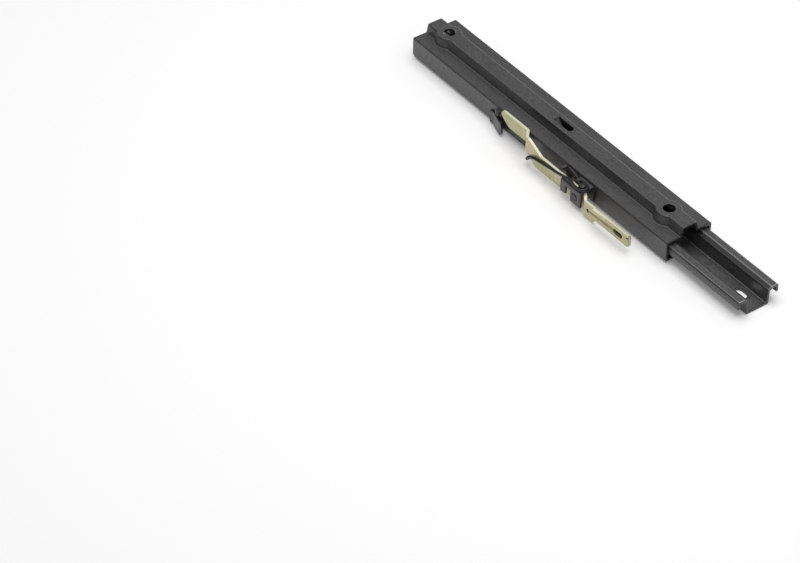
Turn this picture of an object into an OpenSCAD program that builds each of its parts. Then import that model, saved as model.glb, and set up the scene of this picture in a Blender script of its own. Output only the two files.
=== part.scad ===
// Seat slide rail, right-hand rail of a pair, with its release latch.
// Lower rail centred on x = 0, underside of its floor on z = 0, latch on the -Y side.
// +X is forward in the car and +Z is up. Millimetres.

/* [Rails] */
// Length of the upper rail
upper_len = 342; // [300:1:380]
// Length of the lower rail
lower_len = 427; // [420:1:440]
// Sheet thickness of both rails
sheet = 2; // [1.8:0.1:2.2]
// Overall width of the upper rail
upper_w = 47; // [46.6:0.1:49]
// Height of the top of the upper rail's flanges
flange_z = 21.1; // [20.9:0.1:23]
// Height of the top of the raised hat
hat_z = 29.4; // [28:0.1:32]
// Width of the hat across its top corners
hat_top_w = 14.8; // [14:0.1:16]
// Width of the hat where it meets the flanges
hat_base_w = 18.4; // [17.6:0.1:20]
// Gap under the upper rail's side lips
lip_ground = 1.9; // [1.5:0.1:2.4]
// Height of the upper rail's inner lip edge
lip_edge_z = 8; // [7:0.1:8.4]
// Depth of the upper rail's side lips, wall to inner edge
lip_depth = 9.2; // [8.9:0.1:9.4]
// Gap between the sides of the two rails
side_gap = 0.6; // [0.5:0.05:0.8]
// Gap between the flanges of the two rails
roof_gap = 2.7; // [2.65:0.05:2.8]
// Depth of the lower rail's lips, from its flanges down
lower_lip_h = 7.2; // [6.8:0.1:7.4]
// Width of a lower rail flange
lower_flange_w = 6.6; // [6.2:0.1:6.8]
// Width of the sloped shoulder inside each flange of the lower rail
lower_shoulder_w = 3.7; // [3:0.1:4.2]
// Drop of that shoulder
lower_shoulder_drop = 2; // [1.4:0.1:2.6]
// How far each lower rail wall leans in, from flange to floor
wall_lean = 1; // [0.6:0.1:1.6]
// Inner bend radius of both rails
bend_in = 0.4; // [0.2:0.1:0.8]
// Outer bend radius of both rails
bend_out = 1.3; // [1:0.1:2]

/* [Bolt holes] */
// Distance between the seat bolt holes
bolt_spacing = 295; // [260:1:310]
// Diameter of the seat bolt holes
bolt_d = 10.8; // [8:0.1:12]
// Radius of the round bosses on top
boss_top_r = 10.9; // [10:0.1:12]
// Radius of the bosses at the flanges
boss_base_r = 13.2; // [12.6:0.1:14]
// Distance of a floor slot from the lower rail's end
slot_inset = 20.5; // [16:0.5:24]
// Length of a floor slot
slot_len = 13; // [11:0.5:16]
// Width of a floor slot
slot_w = 8.6; // [7:0.1:10]

/* [Travel] */
// Where the upper rail's middle rests, behind the lower rail's middle
rest_back = 42.5; // [40:0.5:45]
// Notches of travel to the rear from rest
notches_rear = 2; // [1:1:3]
// Notches of travel to the front from rest
notches_front = 13; // [11:1:14]
// Pitch of the lock notches
notch_pitch = 10; // [9:0.5:11]
// Width of a lock notch
notch_w = 6.2; // [6:0.1:6.6]
// Height of the top of a lock notch
notch_top_z = 14.2; // [14:0.1:14.3]
// Length of the stop tab lanced from the hat
stop_len = 22; // [20:0.5:23]
// Width of the stop tab
stop_w = 5.6; // [4.6:0.1:6]
// Distance of the stop tab's bend from the rail's rear end
stop_x = 169; // [165:1:172]

/* [Balls and glides] */
// Pitch of the balls in a cage
ball_pitch = 40; // [36:1:42]
// Length of a ball cage
cage_len = 180; // [172:1:190]
// Thickness of a ball cage
cage_t = 1; // [0.8:0.05:1]
// Length of a glide
glide_len = 24; // [16:1:24]

/* [Latch] */
// Thickness of the lever plate
lever_t = 2.5; // [2:0.1:2.8]
// Diameter of the pivot pin
pin_d = 6; // [5:0.1:7]
// Distance of the pivot from the rail's rear end
pivot_x = 243; // [242:0.5:244]
// Height of the pivot
pivot_z = 11; // [10.5:0.1:11.5]
// Middle of the lever's rear plate from the rail's side
lever_rear_off = 3.55; // [3.5:0.05:3.8]
// Middle of the lever's pivot plate from the rail's side
lever_mid_off = 10; // [9.8:0.1:10.2]
// Middle of the lever's handle plate from the rail's side
lever_front_off = 15.2; // [14.5:0.1:16]
// Thickness of the lock plate
lock_t = 2; // [1.6:0.1:2]
// Width of a lock tooth
tooth_w = 5; // [4:0.1:5.2]
// Diameter of the spring wire
wire_d = 2.4; // [2:0.1:2.4]
// Sheet thickness of the pivot bracket
bracket_t = 2; // [1.8:0.1:2.1]

/* [Hidden] */
$fn = 64;
// Clearances
run = 0.05;
pocket_gap = 0.1;
slot_gap = 0.5;
stop_gap = 0.4;
// Rails
half = sheet / 2;
rear_x = -rest_back - upper_len / 2;
wall_s = upper_w / 2;
wall_in = wall_s - sheet;
hat_rise = hat_z - flange_z;
hat_lean = (hat_base_w - hat_top_w) / 2 / hat_rise;
hat_off = half * sqrt(1 + hat_lean * hat_lean);
hat_top_c = hat_top_w / 2 + hat_lean * half - hat_off;
hat_base_c = hat_base_w / 2 + hat_lean * half - hat_off;
boss_lean = (boss_base_r - boss_top_r) / hat_rise;
boss_top_c = boss_top_r + boss_lean * half - half;
boss_base_c = boss_base_r + boss_lean * half - half;
flange_c = flange_z - half;
flange_join = 18;
hat_c = hat_z - half;
lip_c = lip_ground + half;
lip_in = wall_s - lip_depth;
hole_rear_x = (upper_len - bolt_spacing) / 2 - 2.5;
hole_xs = [hole_rear_x, hole_rear_x + bolt_spacing];
lower_w = upper_w - 2 * (sheet + side_gap);
lower_h = flange_z - sheet - roof_gap;
lower_lip_z = lower_h - lower_lip_h;
throat_w = lower_w - 2 * lower_flange_w;
floor_w = throat_w - 2 * (lower_shoulder_w + wall_lean);
slot_spacing = lower_len - 2 * slot_inset;
lip_s = lower_w / 2;
lower_c = lower_h - half;
floor_c = floor_w / 2 + half;
shoulder_c = throat_w / 2 - lower_shoulder_w + half * 0.6;
shoulder_z = lower_c - lower_shoulder_drop;
throat_c = throat_w / 2 + half * 0.25;
// Balls between the flanges of the two rails
ball_d = roof_gap - 2 * run;
ball_z = lower_h + roof_gap / 2;
ball_y = (throat_w / 2 + lip_s) / 2;
cage_s = [throat_w / 2 + 0.5, wall_in - 0.9];
cage_hole_d = 3;
// Travel, in whole notches
travel_rear = notches_rear * notch_pitch;
travel_front = notches_front * notch_pitch;
// Stop tab and its stops
stop_a = 45;
stop_slot_w = stop_w + 2 * slot_gap;
stop_tip_x = stop_x + (stop_len + sheet) * cos(stop_a);
stop_top_z = lower_h - 0.4;
stop_back_x = stop_x + hat_c - stop_top_z - half / sin(stop_a);
stop_front_at = rear_x + stop_tip_x + travel_front + stop_gap;
stop_rear_at = rear_x + stop_back_x - travel_rear - stop_gap;
// Latch, measured out from the rail's side
lever_rear_s = wall_s + lever_rear_off;
lever_mid_s = wall_s + lever_mid_off;
lever_front_s = wall_s + lever_front_off;
teeth = [for (i = [-1 : 1]) 148.5 + i * notch_pitch];
tooth_top = lower_lip_z - 0.6;
tooth_t = 2.4;
tooth_tip_s = lip_s - sheet - 0.6;
rear_in = lever_rear_s - lever_t / 2;
lock_out = rear_in;
lock_in = lock_out - lock_t;
mid_in = lever_mid_s - lever_t / 2;
mid_out = lever_mid_s + lever_t / 2;
lever_top = 18.2;
// Lever: its ends, its two joggles and the heights of its edges
lever_x = [131.5, 314.5];
joggle_rear = [166, 173];
joggle_front = [250.5, 257.5];
rear_low = 14.4;
rear_top = 26.6;
mid_low = 3.6;
tab_low = 1.2;
front_low = 5.6;
front_top = 18.8;
front_mid_top = 16.6;
fold_x = 271;
fold_w = 4.9;
fold_end_w = 2.6;
slit_z = 13;
handle_hole = [262.3, 9.8];
handle_hole_d = 3.6;
handle_slot_x = [297, 304];
handle_slot_z = 11.1;
handle_slot_w = 4.8;
window_x = [133, 168];
window_z = [lip_ground + sheet + 0.5, 15.6];
web_z = lever_top + 0.6;
web_top = web_z + bracket_t;
wire_r = wire_d / 2;
wire_in_s = mid_out + wire_r + 0.15;
cheek_s = wire_in_s + wire_r + 0.1;
cheek_out = cheek_s + bracket_t;
plate_out = wall_s + bracket_t;
// Bracket: its length, its two tabs, the web at its front and its cheek with two legs
bracket_x = [214, 251.5];
bracket_low = 6;
cheek_low = 4.6;
tab_s = mid_in - 0.75;
rear_tab_x = 217.6;
dip_x = 230.4;
front_tab_x = 235;
web_x = 243.5;
dip_z = 17;
leg_x = 225.5;
leg_low = 7.5;
leg_gap_x = [232, 238.5];
leg_gap_z = 15.5;
pin_head = 0.4;
// Spring: hook under the lever, run along it, loop round the post, end in the front tab
wire_z = web_top + wire_r + run;
loop_r = 4.5;
loop_x = 247;
wire_s = cheek_s + 1.2;
wire_back_s = wire_s - 2 * loop_r;
wire_end_x = 239.5;
hook_x = 176.3;
hook_z = 8.6;
post_s = wire_s - loop_r;
post_d = 2 * (loop_r - wire_r - run);
post_foot_d = 4.6;
rivet_xs = [219, 230];
rivet_z = 13;
rivet_d = 5;
rivet_head = 1.7;
eyelet_x = 123.5;
eyelet_z = 17.6;
eyelet_d = 3;
eyelet_bore = 1.6;
eyelet_head = 1;
tab_r = 4.2;
guide_t = bracket_t;
guide_x = [112.5, 134.5];
guide_z = [1.4, 13.6];
guide_flare = 6;
cage_x = (rear_x + upper_len - lower_len / 2) / 2;
glide_xs = [117, 280];

// A bent strip of sheet in 2D: its middle line, its thickness and its inner bend radius.
function unit(v) = v / norm(v);
function left_of(v) = [-v[1], v[0]];
function turn(p, i) = let (a = unit(p[i] - p[i - 1]), b = unit(p[i + 1] - p[i]))
  atan2(a[0] * b[1] - a[1] * b[0], a * b);
function cut_back(p, i, r) = (i == 0 || i == len(p) - 1) ? 0 : r * tan(abs(turn(p, i)) / 2);

module strip(p, t, bend) {
  r = bend + t / 2;
  for (i = [0 : len(p) - 2]) {
    d = unit(p[i + 1] - p[i]);
    n = left_of(d) * t / 2;
    a = p[i] + d * cut_back(p, i, r);
    b = p[i + 1] - d * cut_back(p, i + 1, r);
    polygon([a + n, a - n, b - n, b + n]);
  }
  for (i = [1 : len(p) - 2]) {
    s = sign(turn(p, i));
    d0 = unit(p[i] - p[i - 1]);
    d1 = unit(p[i + 1] - p[i]);
    c = p[i] - d0 * cut_back(p, i, r) + s * left_of(d0) * r;
    u0 = -s * left_of(d0) * (r + t);
    u1 = -s * left_of(d1) * (r + t);
    um = unit(u0 + u1) * (r + t) * 1.3;
    intersection() {
      difference() {
        translate(c) circle(r = r + t / 2);
        translate(c) circle(r = r - t / 2);
      }
      polygon([c, c + u0, c + um, c + u1]);
    }
  }
}

// The same strip as one outline, its bends in short steps: inner and outer radius, and the side m
bend_steps = 10;
function bend_side(p, i, t, ri, ro, m) = (i == 0 || i == len(p) - 1)
  ? [p[i] + m * left_of(unit(i == 0 ? p[1] - p[0] : p[i] - p[i - 1])) * t / 2]
  : let (d0 = unit(p[i] - p[i - 1]), n0 = left_of(d0), n1 = left_of(unit(p[i + 1] - p[i])),
      a = turn(p, i), s = sign(a), r = m * s > 0 ? ri : ro,
      q = p[i] + m * t / 2 * (n0 + n1) / (1 + n0 * n1),
      c = q - d0 * r * tan(abs(a) / 2) + s * n0 * r, a0 = atan2(-s * n0[1], -s * n0[0]))
    [for (k = [0 : bend_steps]) c + r * [cos(a0 + a * k / bend_steps), sin(a0 + a * k / bend_steps)]];
module plate_outline(p, t, ri, ro) {
  polygon(concat([for (i = [0 : len(p) - 1]) each bend_side(p, i, t, ri, ro, 1)],
    [for (i = [len(p) - 1 : -1 : 0]) let (q = bend_side(p, i, t, ri, ro, -1))
      each [for (k = [len(q) - 1 : -1 : 0]) q[k]]]));
}

// Places: along the rail from a 2D section in (y, z), on the upper rail, and on its latch side.
module along_x(x0, x1) {
  translate([x0, 0, 0]) rotate([90, 0, 90]) linear_extrude(x1 - x0) children();
}
module on_upper() {
  translate([rear_x, 0, 0]) children();
}
module on_latch() {
  translate([rear_x, 0, 0]) mirror([0, 1, 0]) children();
}
// A cylinder across the latch side, from one distance to another
module across(x, z, s0, s1, d) {
  translate([x, s0, z]) rotate([-90, 0, 0]) cylinder(d = d, h = s1 - s0);
}
module box(x, y, z) {
  translate([x[0], y[0], z[0]]) cube([x[1] - x[0], y[1] - y[0], z[1] - z[0]]);
}

// Upper rail: hat, bosses and flanges on top, a folded side on each hand
hat_path = [[-flange_join, flange_c], [-hat_base_c, flange_c], [-hat_top_c, hat_c],
  [hat_top_c, hat_c], [hat_base_c, flange_c], [flange_join, flange_c]];
side_path = [[flange_join - 2, flange_c], [wall_s - half, flange_c], [wall_s - half, lip_c],
  [lip_in + half, lip_c], [lip_in + half, lip_edge_z]];
boss_path = [[0, hat_c], [boss_top_c, hat_c], [boss_base_c, flange_c], [flange_join, flange_c]];

// What lies under a bent line's upper or lower face, down to a level
module under(p, m, z) {
  n = len(p) - 1;
  polygon(concat([[p[0][0], z]], [for (i = [0 : n]) each bend_side(p, i, sheet, bend_in, bend_out, m)],
    [[p[n][0], z]]));
}
// Where a bend ends on the flange
function foot(p, i, m) = bend_side(p, i, sheet, bend_in, bend_out, m)[bend_steps][0];
module hat_void() {
  y = foot(hat_path, 4, -1);
  along_x(-1, upper_len + 1) intersection() {
    under(hat_path, -1, flange_c - sheet);
    translate([-y, 0]) square([2 * y, hat_z]);
  }
}
module boss_void() {
  rotate_extrude() intersection() {
    under(boss_path, -1, flange_c - sheet);
    square([foot(boss_path, 2, -1), hat_z]);
  }
}
module boss_body() {
  rotate_extrude() intersection() {
    under(boss_path, 1, flange_c);
    square([foot(boss_path, 2, 1), hat_z + 1]);
  }
}
module upper_sheet() {
  difference() {
    union() {
      along_x(0, upper_len) under(hat_path, 1, flange_z - sheet);
      for (x = hole_xs) translate([x, 0, 0]) boss_body();
    }
    hat_void();
    for (x = hole_xs) translate([x, 0, 0]) boss_void();
  }
  for (m = [0, 1]) mirror([0, m, 0]) along_x(0, upper_len)
    plate_outline(side_path, sheet, bend_in, bend_out);
}
module stop_tab() {
  translate([stop_x, 0, hat_c]) rotate([0, stop_a, 0])
    box([-half * 0.4, stop_len], [-stop_w / 2, stop_w / 2], [-half, half]);
}
module upper_rail() {
  color("#3d3d3f") on_upper() {
    difference() {
      upper_sheet();
      for (x = hole_xs) translate([x, 0, hat_c - 4]) cylinder(d = bolt_d, h = 8);
      // Slot left by the stop tab
      box([stop_x, stop_x + stop_len - stop_slot_w / 2], [-stop_slot_w / 2, stop_slot_w / 2],
        [hat_c - 4, hat_c + 4]);
      translate([stop_x + stop_len - stop_slot_w / 2, 0, hat_c - 4]) cylinder(d = stop_slot_w, h = 8);
      // Window for the lock teeth
      box(window_x, [-wall_s - 1, -wall_in + 1], window_z);
      // Rivet holes on the latch side
      mirror([0, 1, 0]) {
        for (x = rivet_xs) across(x, rivet_z, wall_in - 1, wall_s + 1, rivet_d + 2 * run);
        across(eyelet_x, eyelet_z, wall_in - 1, wall_s + 1, eyelet_d + 2 * run);
      }
      // Peg holes of the glides
      for (x = glide_xs, m = [-1, 1]) translate([x, m * glide_s, lip_ground - 1])
        cylinder(d = 3 + 2 * run, h = sheet + 2);
      // Clipped corners at the rear end of the lips
      for (m = [-1, 1]) translate([0, m * (wall_s - half), lip_ground]) rotate([0, 45, 0])
        cube([4, 2 * sheet, 4], center = true);
    }
    stop_tab();
  }
}

// Lower rail
lower_half = [[floor_c, half], [shoulder_c, shoulder_z], [throat_c, lower_c], [lip_s - half, lower_c],
  [lip_s - half, lower_lip_z]];
lower_path = concat([for (i = [4 : -1 : 0]) [-lower_half[i][0], lower_half[i][1]]], lower_half);
notch_first = rear_x + teeth[0] - travel_rear;
notch_count = notches_rear + notches_front + len(teeth);

module floor_slot(x) {
  for (m = [-1, 1]) translate([x + m * (slot_len - slot_w) / 2, 0, -1])
    cylinder(d = slot_w, h = sheet + 2);
  box([x - (slot_len - slot_w) / 2, x + (slot_len - slot_w) / 2], [-slot_w / 2, slot_w / 2],
    [-1, sheet + 1]);
}
// Tab bent up from the floor, with the slot it leaves on one side
module floor_stop(x, way) {
  box([min(x, x + way * sheet), max(x, x + way * sheet)], [-stop_w / 2, stop_w / 2], [0, stop_top_z]);
}
module floor_stop_slot(x, way) {
  a = x + way * sheet;
  b = x + way * (sheet + stop_top_z - sheet);
  box([min(a, b), max(a, b)], [-stop_w / 2 - slot_gap, stop_w / 2 + slot_gap], [-1, sheet + 1]);
}
module lower_rail() {
  color("#38383a") {
    difference() {
      along_x(-lower_len / 2, lower_len / 2) plate_outline(lower_path, sheet, bend_in, bend_out);
      for (m = [-1, 1]) floor_slot(m * slot_spacing / 2);
      floor_stop_slot(stop_front_at + sheet, -1);
      floor_stop_slot(stop_rear_at, -1);
      // Lock notches, open downwards, in the lip on the latch side
      for (i = [0 : notch_count - 1]) {
        x = notch_first + i * notch_pitch;
        box([x - notch_w / 2, x + notch_w / 2], [-lip_s - 1, -lip_s + sheet + bend_in],
          [lower_lip_z - 1, notch_top_z]);
      }
    }
    floor_stop(stop_front_at, 1);
    floor_stop(stop_rear_at, -1);
  }
}

// Ball cages, balls and glides
module ball_cage(m) {
  color("#c9c4b4") translate([cage_x, 0, 0]) difference() {
    box([-cage_len / 2, cage_len / 2], m > 0 ? cage_s : [-cage_s[1], -cage_s[0]],
      [ball_z - cage_t / 2, ball_z + cage_t / 2]);
    for (i = [-2 : 2]) translate([i * ball_pitch, m * ball_y, ball_z - 2])
      cylinder(d = ball_d + 2 * pocket_gap, h = 4);
    for (i = [-1.5 : 1.5]) translate([i * ball_pitch, m * (cage_s[0] + cage_s[1]) / 2, ball_z - 2])
      cylinder(d = cage_hole_d, h = 4);
  }
}
module ball(m, i) {
  color("#b8bcc2") translate([cage_x + i * ball_pitch, m * ball_y, ball_z]) sphere(d = ball_d);
}
glide_s = (lip_in + sheet + wall_in) / 2;
glide_w = wall_in - lip_in - sheet - 2 * (bend_in + pocket_gap);
glide_top = lower_lip_z - 0.2;
glide_base = lip_ground + sheet;
module glide(x, m) {
  color("#e6e3d8") on_upper() translate([x, m * glide_s, 0]) {
    translate([0, glide_w / 2, 0]) rotate([90, 0, 0]) linear_extrude(glide_w)
      polygon([[-glide_len / 2, glide_base], [glide_len / 2, glide_base], [glide_len / 2, glide_top - 1],
        [glide_len / 2 - 3, glide_top], [-glide_len / 2 + 3, glide_top], [-glide_len / 2, glide_top - 1]]);
    translate([0, 0, lip_ground]) cylinder(d = 3, h = sheet + 1);
  }
}

// Release lever: its plan bends, cut to its side outline
lever_plan = [[lever_x[0] - 1, lever_rear_s], [joggle_rear[0], lever_rear_s], [joggle_rear[1], lever_mid_s],
  [joggle_front[0], lever_mid_s], [joggle_front[1], lever_front_s], [lever_x[1], lever_front_s]];
lever_side = [[lever_x[0], 21.5], [lever_x[0] + 6, 17], [lever_x[0] + 10.5, rear_low], [168, rear_low],
  [175, 11.2], [187, mid_low], [255.5, mid_low], [256.8, tab_low], [268.5, tab_low], [270, front_low],
  [lever_x[1] - 1.5, front_low], [lever_x[1], front_low + 1.5], [lever_x[1], 15], [fold_x, 15],
  [fold_x, slit_z], [fold_x - 1.6, slit_z], [fold_x - 1.6, front_mid_top], [257, front_mid_top],
  [251, lever_top], [193, lever_top], [176, rear_top],
  [lever_x[0] + 2.6, rear_top], [lever_x[0] + 0.9, rear_top - 0.9], [lever_x[0], rear_top - 2.7]];
module release_lever() {
  color("#bdb78c") on_latch() {
    difference() {
      intersection() {
        linear_extrude(40) plate_outline(lever_plan, lever_t, 1.5, 1.5 + lever_t);
        translate([0, 60, 0]) rotate([90, 0, 0]) linear_extrude(60) polygon(lever_side);
      }
      across(pivot_x, pivot_z, mid_in - 1, mid_out + 1, pin_d + 2 * run);
      across(handle_hole[0], handle_hole[1], lever_front_s - 4, lever_front_s + 4, handle_hole_d);
      for (x = handle_slot_x) across(x, handle_slot_z, lever_front_s - 4, lever_front_s + 4, handle_slot_w);
      box(handle_slot_x, [lever_front_s - 4, lever_front_s + 4],
        [handle_slot_z - handle_slot_w / 2, handle_slot_z + handle_slot_w / 2]);
    }
    // Top edge of the handle plate, folded outwards
    intersection() {
      along_x(fold_x, lever_x[1]) strip([[lever_front_s, 14], [lever_front_s, front_top - lever_t / 2],
        [lever_front_s + fold_w, front_top - lever_t / 2]], lever_t, 0.8);
      linear_extrude(40) polygon([[fold_x - 1, mid_in], [lever_x[1] + 1, mid_in],
        [lever_x[1] + 1, lever_front_s + fold_end_w], [294, lever_front_s + fold_end_w + 0.3],
        [fold_x - 1, lever_front_s + fold_w]]);
    }
    // End of the handle plate, folded outwards
    linear_extrude_at(8.5, 14.8) strip([[310, lever_front_s], [lever_x[1] - lever_t / 2, lever_front_s],
      [lever_x[1] - lever_t / 2, lever_front_s + fold_end_w]], lever_t, 0.8);
  }
}
module linear_extrude_at(z0, z1) {
  translate([0, 0, z0]) linear_extrude(z1 - z0) children();
}
module lock_plate() {
  color("#2c2c2e") on_latch() {
    along_x(teeth[0] - tooth_w / 2, teeth[2] + tooth_w / 2)
      strip([[lock_in + lock_t / 2, 22.5], [lock_in + lock_t / 2, tooth_top - tooth_t / 2],
        [lock_in + lock_t / 2 - 1.2, tooth_top - tooth_t / 2]], lock_t, 0.1);
    for (x = teeth) box([x - tooth_w / 2, x + tooth_w / 2], [tooth_tip_s, lock_in + lock_t / 2],
      [tooth_top - tooth_t, tooth_top]);
  }
}

// Pivot bracket, its pin, bush, washer and rivets
bracket_path = [[wall_s + bracket_t / 2, bracket_low], [wall_s + bracket_t / 2, web_z + bracket_t / 2],
  [cheek_s + bracket_t / 2, web_z + bracket_t / 2], [cheek_s + bracket_t / 2, cheek_low]];
module pivot_bracket() {
  color("#333335") on_latch() difference() {
    along_x(bracket_x[0], bracket_x[1]) strip(bracket_path, bracket_t, 1);
    // Rear tab, sloped dip in the back plate, and gap between the front tab and the cheek
    box([bracket_x[0] - 1, leg_x], [tab_s, cheek_out + 1], [0, web_top + 1]);
    box([rear_tab_x, front_tab_x], [plate_out, cheek_s], [dip_z, web_top + 1]);
    translate([0, plate_out + 0.01, 0]) rotate([90, 0, 0]) linear_extrude(bracket_t + 1)
      polygon([[rear_tab_x, web_top + 1], [rear_tab_x, web_top], [dip_x, dip_z], [front_tab_x, dip_z],
        [front_tab_x, web_top + 1]]);
    box([front_tab_x - 1, web_x], [tab_s, cheek_s], [dip_z, web_top + 1]);
    // Gap between the two legs, and the shorter rear leg
    box(leg_gap_x, [cheek_s - 1, cheek_out + 1], [0, leg_gap_z]);
    box([leg_x - 1, leg_gap_x[0] + 1], [cheek_s - 1, cheek_out + 1], [0, leg_low]);
    across(pivot_x, pivot_z, wall_s - 1, cheek_out + 1, pin_d + 2 * run);
    for (x = rivet_xs) across(x, rivet_z, wall_s - 1, plate_out + 1, rivet_d + 2 * run);
    translate([loop_x, post_s, web_z - 1]) cylinder(d = post_foot_d + 2 * run, h = bracket_t + 2);
    // Hole that takes the spring's end
    translate([wire_end_x, wire_back_s, web_z - 1]) cylinder(d = wire_d + 2 * run, h = bracket_t + 2);
  }
}
module pivot_pin() {
  color("#8f9296") on_latch() {
    across(pivot_x, pivot_z, wall_s, cheek_out + pin_head / 2, pin_d);
    across(pivot_x, pivot_z, cheek_out, cheek_out + pin_head, pin_d + 1.2);
  }
}
module pivot_bush() {
  color("#6f7175") on_latch() difference() {
    across(pivot_x, pivot_z, plate_out, mid_in - run, pin_d + 4);
    across(pivot_x, pivot_z, plate_out - 1, mid_in + 1, pin_d + 2 * run);
  }
}
module pivot_washer() {
  color("#6f7175") on_latch() difference() {
    across(pivot_x, pivot_z, mid_out + run, cheek_s, pin_d + 6);
    across(pivot_x, pivot_z, mid_out - 1, cheek_s + 1, pin_d + 2 * run);
  }
}
module rivet(x, z, d, head, bore) {
  color("#333335") on_latch() difference() {
    union() {
      across(x, z, wall_in + 0.1, plate_out + 0.5, d);
      intersection() {
        across(x, z, plate_out, plate_out + 2, d + 2 * head);
        translate([x, plate_out - 4, z]) sphere(r = 6);
      }
    }
    if (bore > 0) across(x, z, wall_in - 1, plate_out + 4, bore);
  }
}

// Spring post and hairpin return spring
module spring_post() {
  color("#2f2f31") on_latch() translate([loop_x, post_s, 0]) {
    translate([0, 0, web_z]) cylinder(d = post_foot_d, h = bracket_t + 1);
    translate([0, 0, web_top]) cylinder(d = post_d, h = wire_d);
    intersection() {
      translate([0, 0, web_top + wire_d]) cylinder(d = post_d, h = 3);
      translate([0, 0, web_top + wire_d + 1.6 - post_d]) sphere(r = post_d);
    }
  }
}
wire_knuckle = 1.04;
wire_run = [[hook_x, mid_in - 1.4, hook_z], [hook_x, wire_in_s, hook_z],
  [185, wire_in_s, 13.4], [221, wire_in_s, lever_top + 0.7],
  [234, wire_in_s, wire_z], [241, wire_s, wire_z], [loop_x, wire_s, wire_z]];
wire_tail = [[loop_x, wire_back_s, wire_z], [wire_end_x, wire_back_s, wire_z],
  [wire_end_x, wire_back_s, web_z]];
module rod(a, b) {
  d = b - a;
  translate(a) rotate([0, acos(d[2] / norm(d)), atan2(d[1], d[0])]) cylinder(r = wire_r, h = norm(d));
}
// Straight lengths of wire with a round knuckle at each corner
module wire(p) {
  for (i = [0 : len(p) - 2]) rod(p[i], p[i + 1]);
  for (i = [1 : len(p) - 2]) translate(p[i]) sphere(r = wire_r * wire_knuckle);
}
module return_spring() {
  color("#2a2a2c") on_latch() {
    wire(wire_run);
    wire(wire_tail);
    translate([loop_x, wire_s - loop_r, wire_z]) rotate([0, 0, -90]) rotate_extrude(angle = 180)
      translate([loop_r, 0]) circle(r = wire_r);
    for (y = [wire_s, wire_back_s]) translate([loop_x, y, wire_z]) sphere(r = wire_r * wire_knuckle);
  }
}

// Rear guide: a flared strap that leads the lever's end, riveted on by its upper tab
guide_path = [[guide_x[0], wall_s + guide_t / 2], [guide_x[0] + 5, wall_s + guide_t / 2],
  [guide_x[1] - 5, wall_s + guide_flare - 0.8], [guide_x[1], wall_s + guide_flare]];
guide_side = [[guide_x[0], guide_z[0] + 1], [guide_x[0] + 1, guide_z[0]], [guide_x[1] - 2.5, guide_z[0]],
  [guide_x[1] - 0.7, guide_z[0] + 0.9], [guide_x[1], guide_z[0] + 3], [guide_x[1], guide_z[1] - 3],
  [guide_x[1] - 2, guide_z[1]], [guide_x[0], guide_z[1]]];
module rear_guide() {
  color("#39393b") on_latch() difference() {
    union() {
      intersection() {
        linear_extrude_at(0, hat_z) plate_outline(guide_path, guide_t, 5, 5 + guide_t);
        translate([0, 60, 0]) rotate([90, 0, 0]) linear_extrude(60) polygon(guide_side);
      }
      box([eyelet_x - tab_r, eyelet_x + tab_r], [wall_s, plate_out], [guide_z[0], eyelet_z]);
      intersection() {
        across(eyelet_x, eyelet_z, wall_s, plate_out, 2 * tab_r);
        box([eyelet_x - tab_r, eyelet_x + tab_r], [wall_s, plate_out], [guide_z[0], flange_z - bend_out]);
      }
    }
    across(eyelet_x, eyelet_z, wall_s - 1, plate_out + 1, eyelet_d + 2 * run);
  }
}

upper_rail();
lower_rail();
ball_cage(1);  // ball_cage_left
ball_cage(-1);  // ball_cage_right
ball(1, -2);  // ball_left_1
ball(1, -1);  // ball_left_2
ball(1, 0);  // ball_left_3
ball(1, 1);  // ball_left_4
ball(1, 2);  // ball_left_5
ball(-1, -2);  // ball_right_1
ball(-1, -1);  // ball_right_2
ball(-1, 0);  // ball_right_3
ball(-1, 1);  // ball_right_4
ball(-1, 2);  // ball_right_5
glide(glide_xs[0], 1);  // glide_rear_left
glide(glide_xs[0], -1);  // glide_rear_right
glide(glide_xs[1], 1);  // glide_front_left
glide(glide_xs[1], -1);  // glide_front_right
release_lever();
lock_plate();
pivot_bracket();
pivot_pin();
pivot_bush();
pivot_washer();
rivet(rivet_xs[0], rivet_z, rivet_d, rivet_head, 0);  // bracket_rivet_rear
rivet(rivet_xs[1], rivet_z, rivet_d, rivet_head, 0);  // bracket_rivet_front
spring_post();
return_spring();
rear_guide();
rivet(eyelet_x, eyelet_z, eyelet_d, eyelet_head, eyelet_bore);  // guide_rivet
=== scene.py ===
# %% [markdown]
# # A seat slide rail, dressed for its picture
# The construction comes from the CAD frame: two folded steel channels that slide in each other, a
# plated release lever, its bracket, pin, spring and guide. This lesson gives each of them the finish
# of the real thing, sets a camera where the photographer stood, and lights a plain white table.

# %% Load the frame
import math

import bmesh
import bpy
from mathutils import Matrix, Vector


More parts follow.
